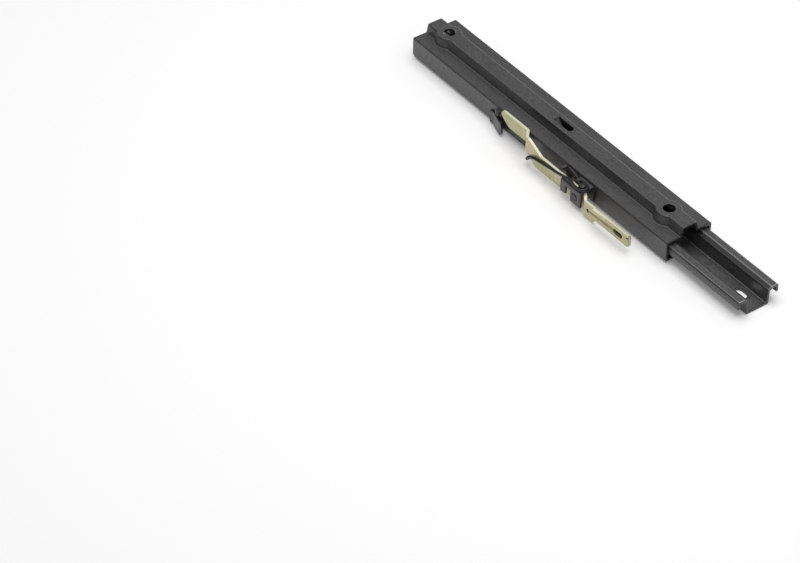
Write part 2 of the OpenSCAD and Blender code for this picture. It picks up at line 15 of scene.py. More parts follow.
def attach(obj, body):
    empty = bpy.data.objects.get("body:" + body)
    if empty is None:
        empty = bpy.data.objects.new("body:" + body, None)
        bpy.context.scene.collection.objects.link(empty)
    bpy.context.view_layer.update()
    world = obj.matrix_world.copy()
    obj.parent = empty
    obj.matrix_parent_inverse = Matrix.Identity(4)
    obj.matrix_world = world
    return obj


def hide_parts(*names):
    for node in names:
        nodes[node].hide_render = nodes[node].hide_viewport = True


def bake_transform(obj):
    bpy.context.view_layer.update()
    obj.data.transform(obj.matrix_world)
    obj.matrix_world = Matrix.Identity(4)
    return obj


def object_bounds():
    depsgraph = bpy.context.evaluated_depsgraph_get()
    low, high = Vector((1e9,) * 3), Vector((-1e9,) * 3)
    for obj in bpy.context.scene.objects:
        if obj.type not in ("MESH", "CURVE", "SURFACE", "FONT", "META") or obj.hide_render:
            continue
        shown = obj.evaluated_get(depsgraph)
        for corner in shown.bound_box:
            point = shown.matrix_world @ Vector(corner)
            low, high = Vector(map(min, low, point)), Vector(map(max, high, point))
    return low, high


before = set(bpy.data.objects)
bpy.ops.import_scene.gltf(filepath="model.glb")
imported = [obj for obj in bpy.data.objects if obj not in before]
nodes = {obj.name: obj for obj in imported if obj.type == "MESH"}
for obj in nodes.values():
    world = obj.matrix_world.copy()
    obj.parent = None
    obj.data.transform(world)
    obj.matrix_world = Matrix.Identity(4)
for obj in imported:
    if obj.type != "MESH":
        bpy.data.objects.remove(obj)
cad_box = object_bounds()
MM = 0.001

# %% [markdown]
# ## The camera
# The photograph looks down at the rail at about 40 degrees, from its front end and the latch's side. It
# is taken from far away with a long lens, so that the rail's edges stay nearly parallel. A camera can
# be aimed with a constraint, but a plain direction and a small roll are easier to read, and they keep
# working when other views move the camera.

# %% Camera
CAMERA_AT = Vector((1526.5, -1342.75, 1608.25)) * MM
LOOKS_AT = Vector((36.66, -221.28, 15.0)) * MM
LENS_MM = 139.53
SENSOR_MM = 36.0
ROLL_DEG = 1.057
NEAREST_M = 0.05
FARTHEST_M = 50.0


def put(name, data):
    """A new object with this data, linked to the scene."""
    thing = bpy.data.objects.new(name, data)
    bpy.context.scene.collection.objects.link(thing)
    return thing


def aimed(at, to):
    """Matrix of a camera or lamp that stands at one point and looks at another."""
    way = Vector(to) - Vector(at)
    return Matrix.Translation(at) @ way.to_track_quat("-Z", "Y").to_matrix().to_4x4()


lens = bpy.data.cameras.new("photo_camera")
lens.lens = LENS_MM
lens.sensor_fit = "HORIZONTAL"
lens.sensor_width = SENSOR_MM
lens.clip_start = NEAREST_M
lens.clip_end = FARTHEST_M
camera = put("photo_camera", lens)
roll = Matrix.Rotation(math.radians(ROLL_DEG), 4, "Z")
camera.matrix_world = aimed(CAMERA_AT, LOOKS_AT) @ roll
bpy.context.scene.camera = camera
print("camera distance", round((LOOKS_AT - CAMERA_AT).length, 3), "m")

# %% [markdown]
# ## Small helpers for materials
# Colours are written as the eye sees them, in sRGB, and Blender's shaders want them linear. One
# function turns the one into the other, and one more adds a node with its settings and links, so that
# each finish below reads as a short list of what its surface does.

# %% Material helpers
# Nearly all values of a noise texture lie between these two
NOISE_LOW = 0.3
NOISE_HIGH = 0.7
# Octaves of a soft noise and of a finer one
SOFT = 2.0
FINE = 3.0


def linear(hex_colour):
    """sRGB hex, such as "#808080", as a linear RGBA colour."""
    parts = [int(hex_colour[i : i + 2], 16) / 255 for i in (1, 3, 5)]
    bent = [c / 12.92 if c <= 0.04045 else ((c + 0.055) / 1.055) ** 2.4 for c in parts]
    return (*bent, 1.0)


def plug(tree, socket, value):
    """Set a socket, or link it to an output; a node stands for its first output."""
    if isinstance(value, bpy.types.Node):
        value = value.outputs[0]
    if isinstance(value, bpy.types.NodeSocket):
        tree.links.new(value, socket)
    else:
        socket.default_value = value


def add(tree, kind, inputs=None, **settings):
    """A node with its settings, and its inputs set or linked."""
    node = tree.nodes.new(kind)
    for name, value in settings.items():
        setattr(node, name, value)
    for name, value in (inputs or {}).items():
        plug(tree, node.inputs[name], value)
    return node


def dress(tree, shader, **values):
    """Set a shader's sockets, or link them."""
    for name, value in values.items():
        plug(tree, shader.inputs[name.replace("_", " ")], value)


def new_finish(name):
    """A new material, its shader, and the outputs of the piece's own coordinates, in metres."""
    material = bpy.data.materials.new(name)
    material.use_nodes = True
    tree = material.node_tree
    coords = add(tree, "ShaderNodeTexCoord").outputs
    return material, tree, tree.nodes["Principled BSDF"], coords


def per_metre(size_mm):
    """Texture scale of a pattern whose features are size_mm wide."""
    return 1 / (size_mm * MM)


print("a pattern of 1 mm has the texture scale", per_metre(1))

# %% [markdown]
# ## Cut edges
# Paint and plating are thin where the sheet was cut, and pale there. The pale edge is partly that
# wear and partly painted highlight, standing in for the glint of light on a rounded edge. Such wear
# could be painted by hand on an unwrapped mesh, but a CAD mesh isn't unwrapped. A Bevel node works on
# any mesh: it gives the normal that a slightly rounded edge would have, and where that differs from
# the true one is an edge.

# %% Cut edges
EDGE_SAMPLES = 6
# Cosine of the turn between the two normals where an edge starts, and where it is full
EDGE_STARTS = 0.99
EDGE_FULL = 0.80


def cut_edges(tree, radius_mm, most):
    """The normal rounded at cut edges, and a mask of those edges that goes up to most."""
    softened = add(tree, "ShaderNodeBevel", {"Radius": radius_mm * MM}, samples=EDGE_SAMPLES)
    normals = {0: softened, 1: add(tree, "ShaderNodeNewGeometry").outputs["Normal"]}
    match = add(tree, "ShaderNodeVectorMath", normals, operation="DOT_PRODUCT")
    mask = add(
        tree,
        "ShaderNodeMapRange",
        {
            "Value": match.outputs["Value"],
            "From Min": EDGE_STARTS,
            "From Max": EDGE_FULL,
            "To Max": most,
        },
    )
    return softened, mask


edge_turn = math.degrees(math.acos(EDGE_STARTS))
print("an edge starts at a turn of", round(edge_turn), "degrees")

# %% [markdown]
# ## Black paint: painted highlights on folds
# A pressed fold is round already, so it needs another test than a cut edge. An Ambient Occlusion node
# that looks inside the sheet sees less steel at a fold. Folds out at the rail's two long sides get a
# painted highlight, pale paint standing in for light along those bends, and the rims of the bolt
# holes, nearer its middle, get none.

# %% Painted fold highlights
CORNER_SAMPLES = 8
FOLD_REACH = 1.5
# What the node gives on a flat sheet and on a full fold
FOLD_STARTS = 0.97
FOLD_FULL = 0.80
FOLD_MOST = 0.9
# Distances from the rail's middle between which the painted highlight sets in
HOLE_EDGE = 5.4
HAT_EDGE = 6.2


def sheet_folds(tree):
    """Mask of the sheet's folds."""
    speck_and_highlight = add(
        tree,
        "ShaderNodeAmbientOcclusion",
        {"Distance": FOLD_REACH * MM},
        samples=CORNER_SAMPLES,
        only_local=True,
        inside=True,
    )
    return add(
        tree,
        "ShaderNodeMapRange",
        {
            "Value": speck_and_highlight.outputs["AO"],
            "From Min": FOLD_STARTS,
            "From Max": FOLD_FULL,
            "To Max": FOLD_MOST,
        },
    )


def long_sides(tree, across, near_highlight):
    """Mask of the painted highlight on the rail's two long sides; the one by the latch goes up to
    near_highlight.
    """
    far = add(
        tree,
        "ShaderNodeMapRange",
        {"Value": across, "From Min": HOLE_EDGE * MM, "From Max": HAT_EDGE * MM},
    )
    near = add(
        tree,
        "ShaderNodeMapRange",
        {
            "Value": across,
            "From Min": -HOLE_EDGE * MM,
            "From Max": -HAT_EDGE * MM,
            "To Max": near_highlight,
        },
    )
    return add(tree, "ShaderNodeMath", {0: far, 1: near}, operation="MAXIMUM")


print("folds are looked for", FOLD_REACH, "mm deep in the sheet")

# %% [markdown]
# ## Black paint: painted shade on walls, painted highlights in corners
# Walls that face the latch get painted shade, darker paint standing in for the shade on them. The
# normal finds them: its upward part is small on a wall, and its sideways part tells which way the wall
# faces. Level inner corners get a painted highlight, pale paint standing in for light on the rounded
# corner. The Ambient Occlusion node finds those when it looks outwards.

# %% Walls and corners
# Upward part of the normal where a wall starts, and where it is full
WALL_STARTS = 0.95
WALL_FULL = 0.90
# Sideways part of the normal, which is negative towards the latch
LATCH_STARTS = -0.05
LATCH_FULL = -0.35
CORNER_REACH = 1.6
# What the node gives where the painted corner highlight starts, and in a full corner
CORNER_STARTS = 0.92
CORNER_FULL = 0.70
CORNER_HIGHLIGHT = 0.55


def latch_walls(tree, faces, wall_shade):
    """Mask of the painted shade on walls that face the latch, up to wall_shade."""
    wall = add(
        tree,
        "ShaderNodeMapRange",
        {
            "Value": faces["Z"],
            "From Min": WALL_STARTS,
            "From Max": WALL_FULL,
            "To Max": wall_shade,
        },
    )
    to_latch = add(
        tree,
        "ShaderNodeMapRange",
        {"Value": faces["Y"], "From Min": LATCH_STARTS, "From Max": LATCH_FULL},
    )
    return add(tree, "ShaderNodeMath", {0: wall, 1: to_latch}, operation="MULTIPLY")


def highlit_corners(tree):
    """Mask of the painted highlight in inner corners."""
    nook = add(
        tree,
        "ShaderNodeAmbientOcclusion",
        {"Distance": CORNER_REACH * MM},
        samples=CORNER_SAMPLES,
        only_local=True,
    )
    return add(
        tree,
        "ShaderNodeMapRange",
        {
            "Value": nook.outputs["AO"],
            "From Min": CORNER_STARTS,
            "From Max": CORNER_FULL,
            "To Max": CORNER_HIGHLIGHT,
        },
    )


# Inner corners within this reach get a painted highlight
print("dust gathers within", CORNER_REACH, "mm of a corner")

# %% [markdown]
# ## Black paint: painted highlight and painted shade
# The marks come together in two masks, both of painted light. A painted highlight lies on high, level
# folds, in level corners, and along one bend that is too shallow for the fold test, so that its place
# is given. Painted shade lies on all other folds and on high walls that face the latch.

# %% Thin and thick paint
# Upward part of the normal on a slope and on a level face
LEVEL_STARTS = 0.75
LEVEL_FULL = 0.93
# Half width and strength of the painted highlight along the given bend
RIDGE_HALF = 0.45
RIDGE_HIGHLIGHT = 0.45


def paint_marks(tree, coords, rise, near_highlight, wall_shade, ridge):
    """Masks of painted highlight and of painted shade; rise is the two heights between which the marks
    on high places set in.
    """
    at = add(tree, "ShaderNodeSeparateXYZ", {"Vector": coords["Object"]}).outputs
    faces = add(tree, "ShaderNodeSeparateXYZ", {"Vector": coords["Normal"]}).outputs
    high = add(
        tree,
        "ShaderNodeMapRange",
        {"Value": at["Z"], "From Min": rise[0] * MM, "From Max": rise[1] * MM},
    )
    level = add(
        tree,
        "ShaderNodeMapRange",
        {"Value": faces["Z"], "From Min": LEVEL_STARTS, "From Max": LEVEL_FULL},
    )
    fold = sheet_folds(tree)
    sides = long_sides(tree, at["Y"], near_highlight)
    shoulder = add(tree, "ShaderNodeMath", {0: high, 1: level}, operation="MULTIPLY")
    highlit = add(tree, "ShaderNodeMath", {0: fold, 1: shoulder}, operation="MULTIPLY")
    highlit = add(tree, "ShaderNodeMath", {0: highlit, 1: sides}, operation="MULTIPLY")
    corner_highlight = add(tree, "ShaderNodeMath", {0: highlit_corners(tree), 1: level}, operation="MULTIPLY")
    painted_highlight = add(tree, "ShaderNodeMath", {0: highlit, 1: corner_highlight}, operation="MAXIMUM")
    if ridge:
        reach = {0: at["Y"], 1: ridge * MM, 2: RIDGE_HALF * MM}
        line = add(tree, "ShaderNodeMath", reach, operation="COMPARE")
        line = add(tree, "ShaderNodeMath", {0: line, 1: high}, operation="MULTIPLY")
        line = add(tree, "ShaderNodeMath", {0: line, 1: RIDGE_HIGHLIGHT}, operation="MULTIPLY")
        painted_highlight = add(tree, "ShaderNodeMath", {0: painted_highlight, 1: line}, operation="MAXIMUM")
    elsewhere = add(tree, "ShaderNodeMath", {0: 1.0, 1: shoulder}, operation="SUBTRACT")
    fold_shade = add(tree, "ShaderNodeMath", {0: fold, 1: elsewhere}, operation="MULTIPLY")
    walls = latch_walls(tree, faces, wall_shade)
    walls = add(tree, "ShaderNodeMath", {0: walls, 1: high}, operation="MULTIPLY")
    painted_shade = add(tree, "ShaderNodeMath", {0: fold_shade, 1: walls}, operation="MAXIMUM")
    return painted_highlight, painted_shade


# The bend's pale line is a painted highlight
print("a rubbed bend is", 2 * RIDGE_HALF, "mm wide")

# %% [markdown]
# ## Black paint: the coat
# The rails are dipped in black primer after pressing. The coat is a dark grey rather than black, and
# satin. It is slightly cloudy over a few centimetres, has an orange peel with waves of about a
# millimetre, and carries specks of dust. One noise could do for all three, but with one for each they
# can be matched to the real coat one by one.

# %% Black paint
CLOUD_MM = 28.0
PEEL_MM = 0.9
PEEL_DEEP = 0.1
PEEL_STRENGTH = 0.1
# Real specks are under 0.1 mm, too fine for the picture, so they are drawn coarser
SPECK_MM = 1.6
SPECK_STARTS = 0.35
SPECK_FULL = 0.75
SPECK_MOST = 0.22
# Cut edges get pale paint: partly wear, partly painted highlight
PAINT_EDGE_R = 0.45
PAINT_EDGE_WEAR_AND_HIGHLIGHT = 0.5
# How much the clouds take from the roughness, and add to it
GLOSSIER = 0.04
DULLER = 0.05
PAINT_IOR = 1.55
# Colour of the painted shade on folds and on walls that face the latch
PAINTED_SHADE_BLACK = "#1b1b1c"


def black_paint(name, blacks, speck_and_highlight, roughness, rise, near_highlight, wall_shade, ridge=None):
    """Primer paint between two blacks, with painted highlights, painted shade and lighter wear on cut
    edges.
    """
    material, tree, shader, coords = new_finish(name)
    place = coords["Object"]
    softened, edge_wear_and_highlight = cut_edges(tree, PAINT_EDGE_R, PAINT_EDGE_WEAR_AND_HIGHLIGHT)
    painted_highlight, painted_shade = paint_marks(tree, coords, rise, near_highlight, wall_shade, ridge)
    clouds = add(
        tree,
        "ShaderNodeTexNoise",
        {"Vector": place, "Scale": per_metre(CLOUD_MM), "Detail": FINE},
    )
    specks = add(
        tree,
        "ShaderNodeTexNoise",
        {"Vector": place, "Scale": per_metre(SPECK_MM), "Detail": SOFT},
    )
    peel = add(
        tree,
        "ShaderNodeTexNoise",
        {"Vector": place, "Scale": per_metre(PEEL_MM), "Detail": SOFT},
    )
    cloudy = add(
        tree,
        "ShaderNodeMapRange",
        {"Value": clouds, "From Min": NOISE_LOW, "From Max": NOISE_HIGH},
    )
    dust = add(
        tree,
        "ShaderNodeMapRange",
        {
            "Value": specks,
            "From Min": SPECK_STARTS,
            "From Max": SPECK_FULL,
            "To Max": SPECK_MOST,
        },
    )
    gloss = add(
        tree,
        "ShaderNodeMapRange",
        {
            "Value": clouds,
            "From Min": NOISE_LOW,
            "From Max": NOISE_HIGH,
            "To Min": roughness - GLOSSIER,
            "To Max": roughness + DULLER,
        },
    )
    pale_wear_and_highlight = add(tree, "ShaderNodeMath", {0: edge_wear_and_highlight, 1: painted_highlight}, operation="MAXIMUM")
    colour = add(
        tree,
        "ShaderNodeMixRGB",
        {"Fac": cloudy, "Color1": linear(blacks[0]), "Color2": linear(blacks[1])},
    )
    # Specks of dust, then painted shade, then pale edge wear and painted highlights
    for mask, tone in ((dust, speck_and_highlight), (painted_shade, PAINTED_SHADE_BLACK), (pale_wear_and_highlight, speck_and_highlight)):
        colour = add(
            tree,
            "ShaderNodeMixRGB",
            {"Fac": mask, "Color1": colour, "Color2": linear(tone)},
        )
    bump = add(
        tree,
        "ShaderNodeBump",
        {
            "Height": peel,
            "Normal": softened,
            "Strength": PEEL_STRENGTH,
            "Distance": PEEL_DEEP * MM,
        },
    )
    dress(tree, shader, Base_Color=colour, Roughness=gloss, IOR=PAINT_IOR, Normal=bump)
    return material


print("paint: clouds", CLOUD_MM, "mm, peel", PEEL_MM, "mm, specks", SPECK_MM, "mm")

# %% [markdown]
# ## Three black paints
# The two rails have the same primer and differ in where the painted highlights lie: the upper rail on
# its raised hat, and the lower rail on its flanges and along the bend inside the far one. The bracket
# and the small pieces are a little blacker. One function makes all three, so that their painted light
# and edge wear match.

# %% Paints
RAIL_BLACKS = ("#363637", "#3c3c3d")
BRACKET_BLACKS = ("#343435", "#3b3b3c")
HAT_RISE = (24.0, 27.5)
LIP_RISE = (11.0, 14.9)
# Distance from the rail's middle to the bend between the far flange and its sloped shoulder
SHOULDER_BEND = 14.3

# Dipped primer on pressed steel: dark grey with broad soft highlights, thin lines of painted highlight
# and painted shade
rail_paint = black_paint(
    "black_primer_paint",
    RAIL_BLACKS,
    "#858587",
    roughness=0.38,
    rise=HAT_RISE,
    near_highlight=0.4,
    wall_shade=0.6,
)
# The same primer with stronger painted highlights: brighter lines beside walls in darker painted shade
lower_paint = black_paint(
    "black_primer_paint_lower",
    RAIL_BLACKS,
    "#a0a0a2",
    roughness=0.36,
    rise=LIP_RISE,
    near_highlight=1.0,
    wall_shade=0.95,
    ridge=SHOULDER_BEND,
)
# The bracket's paint: a deeper black with duller painted highlights on its edges
bracket_paint = black_paint(
    "black_bracket_paint",
    BRACKET_BLACKS,
    "#78787a",
    roughness=0.38,
    rise=HAT_RISE,
    near_highlight=0.4,
    wall_shade=0.6,
)
print("paints:", rail_paint.name, lower_paint.name, bracket_paint.name)

# %% [markdown]
# ## Yellow zinc: the film
# The lever is zinc plated and yellow passivated. The film is so thin that it tints the metal: mostly
# pale straw, with patches of green and pink a few centimetres wide, and faint upright streaks where
# the bath ran off. Noise through a colour ramp gives the patches, and noise that is drawn out along the
# height gives the streaks. Neither has a seam, as a wrapped picture would.

# %% Passivation film
FILM_MM = 22.0
FILM_SWIRL = 0.6
FILM_TINTS = [(0.30, "#b4b38a"), (0.45, "#c3bc94"), (0.58, "#cdc39c"), (0.72, "#cbb79a")]
STREAK_WIDE = 2.4
STREAK_TALL = 30.0
STREAK_STARTS = 0.35
STREAK_MOST = 0.30
STREAK_OLIVE = "#8f8658"


def passivation_film(tree, place):
    """Colour of the film, with its patches and streaks."""
    film = add(
        tree,
        "ShaderNodeTexNoise",
        {"Vector": place, "Scale": per_metre(FILM_MM), "Detail": SOFT, "Distortion": FILM_SWIRL},
    )
    tint = add(tree, "ShaderNodeValToRGB", {"Fac": film})
    bands = tint.color_ramp.elements
    for position, _ in FILM_TINTS[1:-1]:
        bands.new(position)
    for band, (position, colour) in zip(bands, FILM_TINTS):
        band.position = position
        band.color = linear(colour)
    drawn_out = (per_metre(STREAK_WIDE), per_metre(STREAK_WIDE), per_metre(STREAK_TALL))
    hung = add(tree, "ShaderNodeMapping", {"Vector": place, "Scale": drawn_out})
    runs = add(tree, "ShaderNodeTexNoise", {"Vector": hung, "Scale": 1.0, "Detail": SOFT})
    streaks = add(
        tree,
        "ShaderNodeMapRange",
        {
            "Value": runs,
            "From Min": STREAK_STARTS,
            "From Max": NOISE_HIGH,
            "To Max": STREAK_MOST,
        },
    )
    return add(
        tree,
        "ShaderNodeMixRGB",
        {"Fac": streaks, "Color1": tint, "Color2": linear(STREAK_OLIVE)},
    )


print("film:", len(FILM_TINTS), "tints in patches of", FILM_MM, "mm")

# %% [markdown]
# ## Yellow zinc: painted highlights and painted shade
# The plate stands upright, so its long cut edges point up or down, and the normal finds them. They get
# a painted highlight, pale colour standing in for the light they catch. Inner corners get painted
# shade, olive colour standing in for the shade in them, and so does a line on the handle's outer
# face, a painted shadow under its folded top. An Ambient Occlusion node finds the corners, and the
# line is given by its two ends.

# %% Painted highlights and painted shade
# Steepness of the normal where a cut edge starts, and where it is full
CUT_STARTS = 0.35
CUT_FULL = 0.9
CUT_HIGHLIGHT = 0.8
SHADE_REACH = 7.0
# What the node gives in a full corner, and where the painted shade ends
SHADE_FULL = 0.45
SHADE_ENDS = 0.92
SHADE_MOST = 0.85
# Ends of the painted shadow line along the rail and up, and how far from its middle it is full and has
# faded
LIP_SHADOW_X = (50.5, 82.0)
LIP_SHADOW_Z = (10.0, 11.4)
LIP_SHADOW_FULL = 0.3
LIP_SHADOW_FADED = 1.9
LIP_SHADOW_MOST = 0.75
# Sideways part of the normal that the handle's outer face stays below
OUTER_FACE = -0.5


def highlit_level_edges(tree, up):
    """Mask of the painted highlight on cut edges that point up or down."""
    tilt = add(tree, "ShaderNodeMath", {0: up}, operation="ABSOLUTE")
    return add(
        tree,
        "ShaderNodeMapRange",
        {"Value": tilt, "From Min": CUT_STARTS, "From Max": CUT_FULL, "To Max": CUT_HIGHLIGHT},
    )


def shaded_corners(tree):
    """Mask of the painted shade in inner corners."""
    recess = add(
        tree,
        "ShaderNodeAmbientOcclusion",
        {"Distance": SHADE_REACH * MM},
        samples=CORNER_SAMPLES,
        only_local=True,
    )
    return add(
        tree,
        "ShaderNodeMapRange",
        {
            "Value": recess.outputs["AO"],
            "From Min": SHADE_FULL,
            "From Max": SHADE_ENDS,
            "To Min": SHADE_MOST,
            "To Max": 0.0,
        },
    )


def lip_shadow_line(tree, place, sideways):
    """Mask of the painted shadow line on the handle's outer face, under its folded top."""
    at = add(tree, "ShaderNodeSeparateXYZ", {"Vector": place}).outputs
    middle = add(
        tree,
        "ShaderNodeMapRange",
        {
            "Value": at["X"],
            "From Min": LIP_SHADOW_X[0] * MM,
            "From Max": LIP_SHADOW_X[1] * MM,
            "To Min": LIP_SHADOW_Z[0] * MM,
            "To Max": LIP_SHADOW_Z[1] * MM,
        },
    )
    off = add(tree, "ShaderNodeMath", {0: at["Z"], 1: middle}, operation="SUBTRACT")
    off = add(tree, "ShaderNodeMath", {0: off}, operation="ABSOLUTE")
    line = add(
        tree,
        "ShaderNodeMapRange",
        {
            "Value": off,
            "From Min": LIP_SHADOW_FULL * MM,
            "From Max": LIP_SHADOW_FADED * MM,
            "To Min": LIP_SHADOW_MOST,
            "To Max": 0.0,
        },
        interpolation_type="SMOOTHSTEP",
    )
    begun = add(
        tree, "ShaderNodeMath", {0: at["X"], 1: LIP_SHADOW_X[0] * MM}, operation="GREATER_THAN"
    )
    not_over = add(
        tree, "ShaderNodeMath", {0: at["X"], 1: LIP_SHADOW_X[1] * MM}, operation="LESS_THAN"
    )
    outer = add(tree, "ShaderNodeMath", {0: sideways, 1: OUTER_FACE}, operation="LESS_THAN")
    for limit in (begun, not_over, outer):
        line = add(tree, "ShaderNodeMath", {0: line, 1: limit}, operation="MULTIPLY")
    return line


# Length of the painted shadow line
print("drain line:", LIP_SHADOW_X[1] - LIP_SHADOW_X[0], "mm long")

# %% [markdown]
# ## Yellow zinc: the finish
# Bare zinc would be fully metallic. Under the yellow film it mirrors less and shows its colour from all
# sides, so metallic stays low. The grain of the plated sheet breaks up its gloss.

# %% Yellow zinc
# Real grain is about 0.1 mm, too fine for the picture, so it is drawn coarser
GRAIN_MM = 0.7
GRAIN_DEEP = 0.1
GRAIN_STRENGTH = 0.05
# Cut edges get pale colour, partly worn plating and partly painted highlight
ZINC_EDGE_R = 0.4
ZINC_EDGE_PALE = 0.7
ZINC_ROUGHNESS = (0.30, 0.42)
ZINC_METALLIC = 0.35
# Colours of the pale edges with their painted highlight, and of the painted shade
PALE_WEAR_AND_HIGHLIGHT = "#f4f0d8"
PAINTED_SHADE_OLIVE = "#57522f"


def yellow_zinc_plate(name):
    """Zinc under a straw-yellow passivation film."""
    material, tree, shader, coords = new_finish(name)
    place = coords["Object"]
    faces = add(tree, "ShaderNodeSeparateXYZ", {"Vector": coords["Normal"]}).outputs
    softened, edge_wear_and_highlight = cut_edges(tree, ZINC_EDGE_R, ZINC_EDGE_PALE)
    cut = highlit_level_edges(tree, faces["Z"])
    pale = add(tree, "ShaderNodeMath", {0: edge_wear_and_highlight, 1: cut}, operation="MAXIMUM")
    corners = shaded_corners(tree)
    line = lip_shadow_line(tree, place, faces["Y"])
    colour = passivation_film(tree, place)
    # Pale edges and painted highlight, then painted shade in the corners and along the shadow line
    for mask, tone in ((pale, PALE_WEAR_AND_HIGHLIGHT), (corners, PAINTED_SHADE_OLIVE), (line, PAINTED_SHADE_OLIVE)):
        colour = add(
            tree,
            "ShaderNodeMixRGB",
            {"Fac": mask, "Color1": colour, "Color2": linear(tone)},
        )
    grain = add(
        tree,
        "ShaderNodeTexNoise",
        {"Vector": place, "Scale": per_metre(GRAIN_MM), "Detail": FINE},
    )
    gloss = add(
        tree,
        "ShaderNodeMapRange",
        {
            "Value": grain,
            "From Min": NOISE_LOW,
            "From Max": NOISE_HIGH,
            "To Min": ZINC_ROUGHNESS[0],
            "To Max": ZINC_ROUGHNESS[1],
        },
    )
    bump = add(
        tree,
        "ShaderNodeBump",
        {
            "Height": grain,
            "Normal": softened,
            "Strength": GRAIN_STRENGTH,
            "Distance": GRAIN_DEEP * MM,
        },
    )
    dress(
        tree,
        shader,
        Base_Color=colour,
        Metallic=ZINC_METALLIC,
        Roughness=gloss,
        Normal=bump,
    )
    return material


# Yellow passivated zinc: pale straw metal with a soft gleam, painted highlights on its edges, olive
# painted shade in its corners
yellow_zinc = yellow_zinc_plate("yellow_passivated_zinc")
print("plating:", yellow_zinc.name)

# %% [markdown]
# ## Blackened steel, bright steel and acetal
# The spring wire, its stud, the pin and the lock plate are oil-blackened steel. Balls, bush and washer
# are ground bright steel. Cages and glides are moulded acetal, a plastic that slides well. Each has one
# noise that varies its colour, gloss and height together, so one function makes all three.

# %% Steel and plastic
MOTTLE_STRENGTH = 0.08
MOTTLE_GLOSS = 0.05


def mottled(name, colours, mottle_mm, metallic, roughness, deep_mm):
    """A finish whose colour and gloss vary a little, in patches of mottle_mm."""
    material, tree, shader, coords = new_finish(name)
    noise = add(
        tree,
        "ShaderNodeTexNoise",
        {"Vector": coords["Object"], "Scale": per_metre(mottle_mm), "Detail": FINE},
    )
    mottle = add(
        tree,
        "ShaderNodeMapRange",
        {"Value": noise, "From Min": NOISE_LOW, "From Max": NOISE_HIGH},
    )
    tone = add(
        tree,
        "ShaderNodeMixRGB",
        {"Fac": mottle, "Color1": linear(colours[0]), "Color2": linear(colours[1])},
    )
    gloss = add(
        tree,
        "ShaderNodeMapRange",
        {
            "Value": noise,
            "From Min": NOISE_LOW,
            "From Max": NOISE_HIGH,
            "To Min": roughness - MOTTLE_GLOSS,
            "To Max": roughness + MOTTLE_GLOSS,
        },
    )
    bump = add(
        tree,
        "ShaderNodeBump",
        {"Height": noise, "Strength": MOTTLE_STRENGTH, "Distance": deep_mm * MM},
    )
    dress(tree, shader, Base_Color=tone, Metallic=metallic, Roughness=gloss, Normal=bump)
    return material


# Oil-blackened steel: nearly black, with an oily sheen
black_steel = mottled(
    "oil_blackened_steel",
    ("#1b1b1d", "#29292b"),
    mottle_mm=3.0,
    metallic=0.2,
    roughness=0.36,
    deep_mm=0.05,
)
# Ground steel: bright, and mirrors what is round it. Its real scratches are finer than this mottle
bright_steel = mottled(
    "ground_bright_steel",
    ("#a9acb0", "#c2c5c8"),
    mottle_mm=1.5,
    metallic=1.0,
    roughness=0.22,
    deep_mm=0.02,
)
# Moulded acetal: off-white and slightly waxy
acetal = mottled(
    "moulded_acetal",
    ("#dedacb", "#e9e6da"),
    mottle_mm=6.0,
    metallic=0.0,
    roughness=0.42,
    deep_mm=0.05,
)
print("mottled finishes:", black_steel.name, bright_steel.name, acetal.name)

# %% [markdown]
# ## Each CAD node gets its finish
# A CAD node whose shape is right keeps that shape, and only takes a finish in its material slot. All
# but the spring are such nodes. A table of finishes and the nodes that wear them is easier to check
# than a line for each node.

# %% Finish of each node
PAINTED_SMALL = [
    "pivot_bracket",
    "bracket_rivet_rear",
    "bracket_rivet_front",
    "rear_guide",
    "guide_rivet",
]
BLACKENED = ["lock_plate", "spring_post", "return_spring", "pivot_pin"]
BRIGHT = ["pivot_bush", "pivot_washer"]
BRIGHT += [n for n in nodes if n.startswith(("ball_left", "ball_right"))]
MOULDED = [n for n in nodes if n.startswith(("ball_cage", "glide"))]
WEARS = [
    (rail_paint, ["upper_rail"]),
    (lower_paint, ["lower_rail"]),
    (bracket_paint, PAINTED_SMALL),
    (yellow_zinc, ["release_lever"]),
    (black_steel, BLACKENED),
    (bright_steel, BRIGHT),
    (acetal, MOULDED),
]
for finish, wearers in WEARS:
    for node_name in wearers:
        mesh = nodes[node_name].data
        mesh.materials.clear()
        mesh.materials.append(finish)
print("dressed", sum(len(wearers) for _, wearers in WEARS), "of", len(nodes), "nodes")

# %% [markdown]
# ## The return spring: its route
# A hairpin of hard black wire loops round a stud on the bracket, runs along the lever and hooks under
# it, so that it lifts the lever's rear end. The CAD solid joins straight rods, and real wire has a
# radius at each bend. A spline through a few points would wander off the straights, so the route is
# straight lines with each corner rounded, and a half circle for the loop.

# %% Spring route
RAIL_MID_X = 213.5
WIRE_R = 1.2
WIRE_Z = 22.05
# Out from the rail's middle: behind the lever, along it, and on the loop's outer side
BEHIND_S = 30.9
ALONG_S = 36.1
OUTER_S = 38.6
# The hook under the lever, and the leg that leaves it
HOOK_X = 176.3
HOOK_Z = 6.4
HOOK_END_Z = 11.2
LEG_Z = 13.4
# The loop round the stud, and the tail that goes down into the bracket
LOOP_X = 247.0
LOOP_R = 4.5
LOOP_STEPS = 24
LOOP_MID_S = OUTER_S - LOOP_R
INNER_S = OUTER_S - 2 * LOOP_R
TAIL_X = 239.5
TAIL_END_Z = 18.85
# Reach of the bends, the most of a straight that one bend takes, and the points of a bend
LEG_BEND = 4.0
TAIL_BEND = 2.5
BEND_SHARE = 0.48
BEND_STEPS = 7


def latch_point(x, s, z):
    """A point along the rail, out from its middle towards the latch, and up, in millimetres."""
    return Vector((x - RAIL_MID_X, -s, z)) * MM


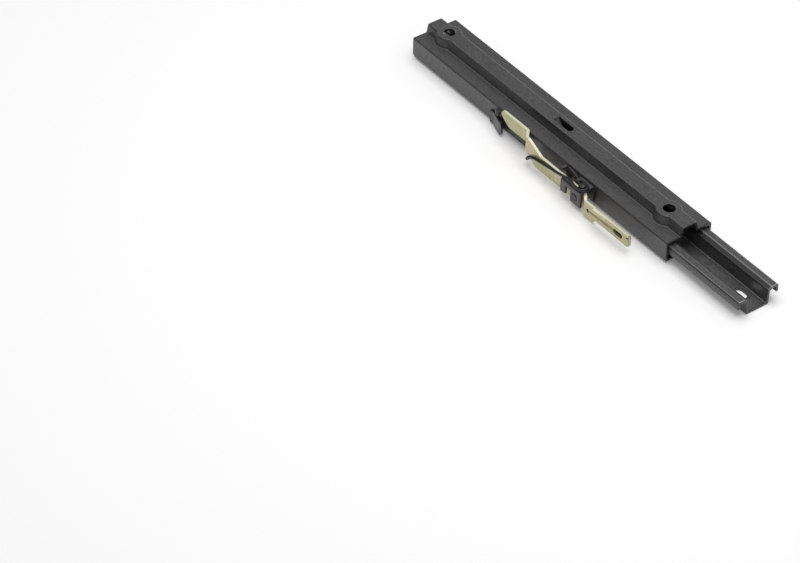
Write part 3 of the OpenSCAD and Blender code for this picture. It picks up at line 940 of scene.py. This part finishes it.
def rounded(points, reach_mm):
    """The same route with each corner turned on a smooth bend."""
    smooth = [points[0]]
    for before, corner, after in zip(points, points[1:], points[2:]):
        back = before - corner
        ahead = after - corner
        reach = min(reach_mm * MM, back.length * BEND_SHARE, ahead.length * BEND_SHARE)
        enters = corner + back.normalized() * reach
        leaves = corner + ahead.normalized() * reach
        for i in range(BEND_STEPS + 1):
            t = i / BEND_STEPS
            smooth.append(enters.lerp(corner, t).lerp(corner.lerp(leaves, t), t))
    return smooth + [points[-1]]


def on_loop(turn):
    """A point of the loop, a turn in radians from its outer side."""
    return latch_point(LOOP_X + LOOP_R * math.sin(turn), LOOP_MID_S + LOOP_R * math.cos(turn), WIRE_Z)


to_loop = [
    latch_point(HOOK_X, BEHIND_S, HOOK_END_Z),
    latch_point(HOOK_X, BEHIND_S, HOOK_Z),
    latch_point(HOOK_X, ALONG_S, HOOK_Z),
    latch_point(177.6, ALONG_S, 9.4),
    latch_point(185.0, ALONG_S, LEG_Z),
    latch_point(221.0, ALONG_S, 18.9),
    latch_point(234.0, ALONG_S, WIRE_Z),
    latch_point(241.0, OUTER_S, WIRE_Z),
    latch_point(LOOP_X, OUTER_S, WIRE_Z),
]
loop = [on_loop(math.pi * i / LOOP_STEPS) for i in range(1, LOOP_STEPS)]
from_loop = [
    latch_point(LOOP_X, INNER_S, WIRE_Z),
    latch_point(TAIL_X, INNER_S, WIRE_Z),
    latch_point(TAIL_X, INNER_S, TAIL_END_Z),
]
route = rounded(to_loop, LEG_BEND) + loop + rounded(from_loop, TAIL_BEND)
wire_length = sum((b - a).length for a, b in zip(route, route[1:]))
print("spring wire:", round(wire_length, 4), "m of", 2 * WIRE_R, "mm")

# %% [markdown]
# ## The return spring: its wire
# A curve with a round bevel sweeps a wire along the route, and is then made a mesh. A bmesh circle
# could be extruded from point to point, but the curve keeps the wire round in every bend. One end stays
# with the bracket and the other goes with the lever; the wire is left in place and joins neither body.

# %% Spring wire
WIRE_ROUNDNESS = 6

bend = bpy.data.curves.new("spring_route", "CURVE")
bend.dimensions = "3D"
bend.bevel_depth = WIRE_R * MM
bend.bevel_resolution = WIRE_ROUNDNESS
bend.use_fill_caps = True
spline = bend.splines.new("POLY")
spline.points.add(len(route) - 1)
for knot, at in zip(spline.points, route):
    knot.co = (*at, 1.0)
swept = put("spring_route", bend)
bpy.context.view_layer.update()
shaped = swept.evaluated_get(bpy.context.evaluated_depsgraph_get())
wire_mesh = bpy.data.meshes.new_from_object(shaped)
bpy.data.objects.remove(swept)
wire_mesh.name = "spring_wire"
wire_mesh.materials.clear()
wire_mesh.materials.append(black_steel)
for face in wire_mesh.polygons:
    face.use_smooth = True
wire = put("spring_wire", wire_mesh)
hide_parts("return_spring")
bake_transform(wire)
print("spring wire:", len(wire_mesh.polygons), "faces")

# %% [markdown]
# ## Painted shade: a dark strip behind the handle's slot
# A strip with the blackened steel finish stands behind the handle and closes its slot to a dark
# pocket: a dark sheet put there as painted shade, for the shade in the gap behind the lever. It is a
# stadium, and it could be a box with round corners, but a circle whose two halves are drawn apart
# gives true round ends. It is then extruded to the strip's thickness, and a small bevel breaks its
# edges.

# %% Dark strip behind the slot, as painted shade
SLOT_MID_X = 300.5
SLOT_MID_Z = 11.1
HANDLE_BACK_S = 37.45
STRIP_HALF_W = 4.0
STRIP_DRAWN = 5.5
STRIP_T = 0.8
STRIP_BREAK = 0.15
STRIP_SEGMENTS = 48
# Radians between two faces from which the edge between them is a rim
RIM_TURN = 1.0

strip_bm = bmesh.new()
bmesh.ops.create_circle(
    strip_bm, cap_ends=True, segments=STRIP_SEGMENTS, radius=STRIP_HALF_W * MM
)
for corner in strip_bm.verts:
    corner.co.x += math.copysign(STRIP_DRAWN * MM, corner.co.x)
pulled = bmesh.ops.extrude_face_region(strip_bm, geom=strip_bm.faces[:])
moved = [v for v in pulled["geom"] if isinstance(v, bmesh.types.BMVert)]
bmesh.ops.translate(strip_bm, verts=moved, vec=(0, 0, STRIP_T * MM))
bmesh.ops.recalc_face_normals(strip_bm, faces=strip_bm.faces[:])
rims = [e for e in strip_bm.edges if e.calc_face_angle() > RIM_TURN]
bmesh.ops.bevel(
    strip_bm,
    geom=rims,
    offset=STRIP_BREAK * MM,
    affect="EDGES",
    segments=2,
    profile=0.5,
    material=-1,
)
stood_up = Matrix.Rotation(math.radians(-90), 4, "X")
set_at = Matrix.Translation(latch_point(SLOT_MID_X, HANDLE_BACK_S, SLOT_MID_Z))
bmesh.ops.transform(strip_bm, matrix=set_at @ stood_up, verts=strip_bm.verts)
strip_mesh = bpy.data.meshes.new("slot_shade_strip")
strip_bm.to_mesh(strip_mesh)
strip_bm.free()
strip_mesh.materials.append(black_steel)
strip = put("slot_shade_strip", strip_mesh)
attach(strip, "lever")
# The strip is painted shade behind the slot
print("keeper strip:", len(strip_mesh.polygons), "faces")

# %% [markdown]
# ## The white table
# The table is nearly white by its own colour, and keeps the part's shadow. It could be lit until it
# clips to white, but that would also wash out the part. Instead a camera ray sees it lifted to white,
# by a glow that lights nothing else, and a mirrored ray sees it lifted too.

# %% Table
TABLE_HALF_M = 4.0
TABLE_CELLS = 8
TABLE_DROP = 0.02
TABLE_ROUGHNESS = 0.9
TABLE_LIFT = 0.13
MIRRORED_LIFT = 0.25

floor_bm = bmesh.new()
bmesh.ops.create_grid(
    floor_bm, x_segments=TABLE_CELLS, y_segments=TABLE_CELLS, size=TABLE_HALF_M
)
table_z = cad_box[0][2] - TABLE_DROP * MM
bmesh.ops.translate(floor_bm, verts=floor_bm.verts, vec=(0, 0, table_z))
floor_mesh = bpy.data.meshes.new("white_table")
floor_bm.to_mesh(floor_mesh)
floor_bm.free()
floor = put("white_table", floor_mesh)

# White paper: matt, without any highlight
table, tree, shader, _ = new_finish("white_table_paper")
rays = add(tree, "ShaderNodeLightPath").outputs
direct = {0: rays["Is Camera Ray"], 1: rays["Is Transmission Ray"]}
seen = add(tree, "ShaderNodeMath", direct, operation="MAXIMUM")
lift = add(tree, "ShaderNodeMath", {0: seen, 1: TABLE_LIFT}, operation="MULTIPLY")
in_mirror = {0: rays["Is Glossy Ray"], 1: MIRRORED_LIFT}
mirrored = add(tree, "ShaderNodeMath", in_mirror, operation="MULTIPLY")
lift = add(tree, "ShaderNodeMath", {0: lift, 1: mirrored}, operation="MAXIMUM")
dress(
    tree,
    shader,
    Base_Color=linear("#fafafa"),
    Roughness=TABLE_ROUGHNESS,
    Specular_IOR_Level=0.0,
    Emission_Color=linear("#ffffff"),
    Emission_Strength=lift,
)
floor_mesh.materials.append(table)
print("table at z =", round(table_z, 5))

# %% [markdown]
# ## The room and its lamp
# One large soft lamp hangs straight above, in a white room. A photographer keeps black metal black with
# a dark flag: here the room is darker low in front, so that walls which face the lens mirror something
# dark. Several lamps could shape the walls too, but a flag adds no shadows. The camera sees the room as
# plain white, and matt surfaces get an even light from it.

# %% Room and lamp
FLAG_FACES = (0.0, 0.8, 0.6)
# Where the flag ends and the room begins along that direction, and how bright each is
FLAG_EDGE = (-0.15, 0.25)
FLAG_LIGHT = (0.05, 0.45)
EVEN_LIGHT = 0.35
LAMP_AT = (0.05, 0.05, 1.6)
LAMP_TO = (0.05, 0.0, 0.0)
LAMP_SIZE_M = 1.5
LAMP_WATTS = 17.0

world = bpy.data.worlds.new("white_room")
bpy.context.scene.world = world
world.use_nodes = True
tree = world.node_tree
rays = add(tree, "ShaderNodeLightPath").outputs
towards = add(tree, "ShaderNodeTexCoord").outputs["Generated"]
behind = add(tree, "ShaderNodeVectorMath", {0: towards, 1: FLAG_FACES}, operation="DOT_PRODUCT")
flag = add(
    tree,
    "ShaderNodeMapRange",
    {
        "Value": behind.outputs["Value"],
        "From Min": FLAG_EDGE[0],
        "From Max": FLAG_EDGE[1],
        "To Min": FLAG_LIGHT[0],
        "To Max": FLAG_LIGHT[1],
    },
    interpolation_type="SMOOTHSTEP",
)
on_matt = {0: rays["Is Diffuse Ray"], 1: EVEN_LIGHT}
even = add(tree, "ShaderNodeMath", on_matt, operation="MULTIPLY")
room = add(tree, "ShaderNodeMath", {0: flag, 1: even}, operation="MAXIMUM")
direct = {0: rays["Is Camera Ray"], 1: rays["Is Transmission Ray"]}
seen = add(tree, "ShaderNodeMath", direct, operation="MAXIMUM")
room = add(tree, "ShaderNodeMath", {0: room, 1: seen}, operation="MAXIMUM")
dress(tree, tree.nodes["Background"], Color=linear("#ffffff"), Strength=room)

key = bpy.data.lights.new("soft_key", "AREA")
key.shape = "SQUARE"
key.size = LAMP_SIZE_M
key.energy = LAMP_WATTS
lamp = put("soft_key", key)
lamp.matrix_world = aimed(LAMP_AT, LAMP_TO)
bpy.context.scene.view_settings.view_transform = "Standard"
print("room:", world.name, "lamp:", lamp.name, LAMP_WATTS, "W")

# %% CAD box
print("CAD box", [[round(c, 4) for c in v] for v in cad_box])
